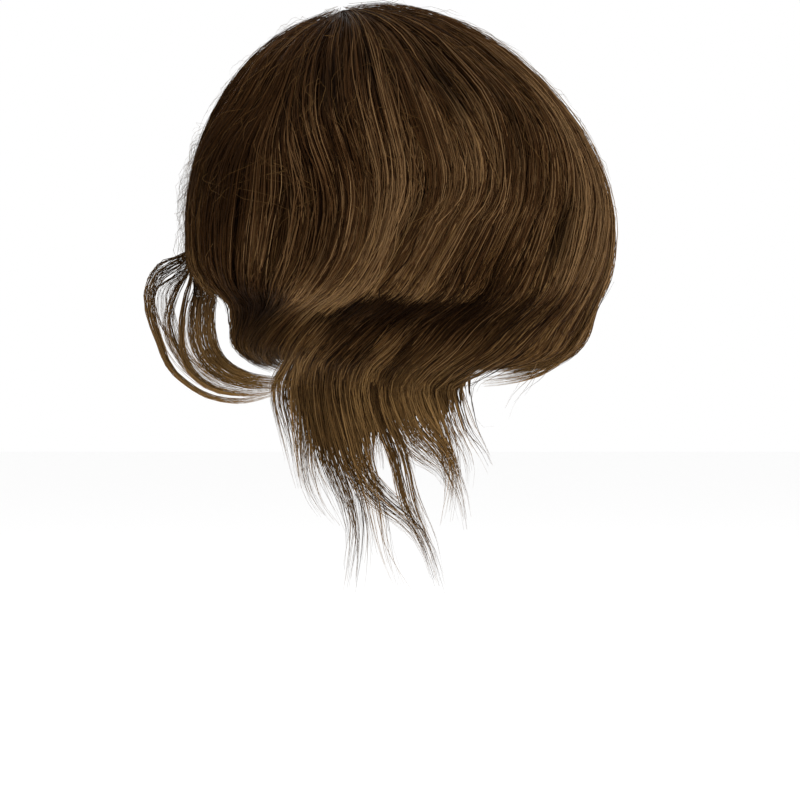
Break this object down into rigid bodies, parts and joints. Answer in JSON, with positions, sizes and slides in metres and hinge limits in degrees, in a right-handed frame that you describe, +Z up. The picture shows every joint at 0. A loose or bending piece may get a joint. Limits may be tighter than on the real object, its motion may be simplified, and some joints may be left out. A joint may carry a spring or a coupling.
{
  "type": "toupee hairpiece",
  "caption": "Long wavy dark brown hairpiece in its worn form, with a thin base over the crown, hair sections that curl under, a nape fall and an open side curl.",
  "frame": {"origin": "highest point of the scalp that the base sits on, at the inside of the base", "axes": "+Z up, -Y the way the wearer faces, +X to the wearer's left"},
  "size_m": [0.2867, 0.2671, 0.3607],
  "materials": {
    "hair": "wavy dark brown hair with a soft sheen",
    "base": "fine skin coloured lace"
  },
  "bodies": {
    "root": {"base_cap": "base", "crown_hair": "hair", "right_side_hair": "hair", "back_right_hair": "hair", "back_middle_hair": "hair", "back_left_hair": "hair", "left_side_hair": "hair", "front_hair": "hair", "nape_fall": "hair", "side_curl": "hair"}
  },
  "joints": []
}
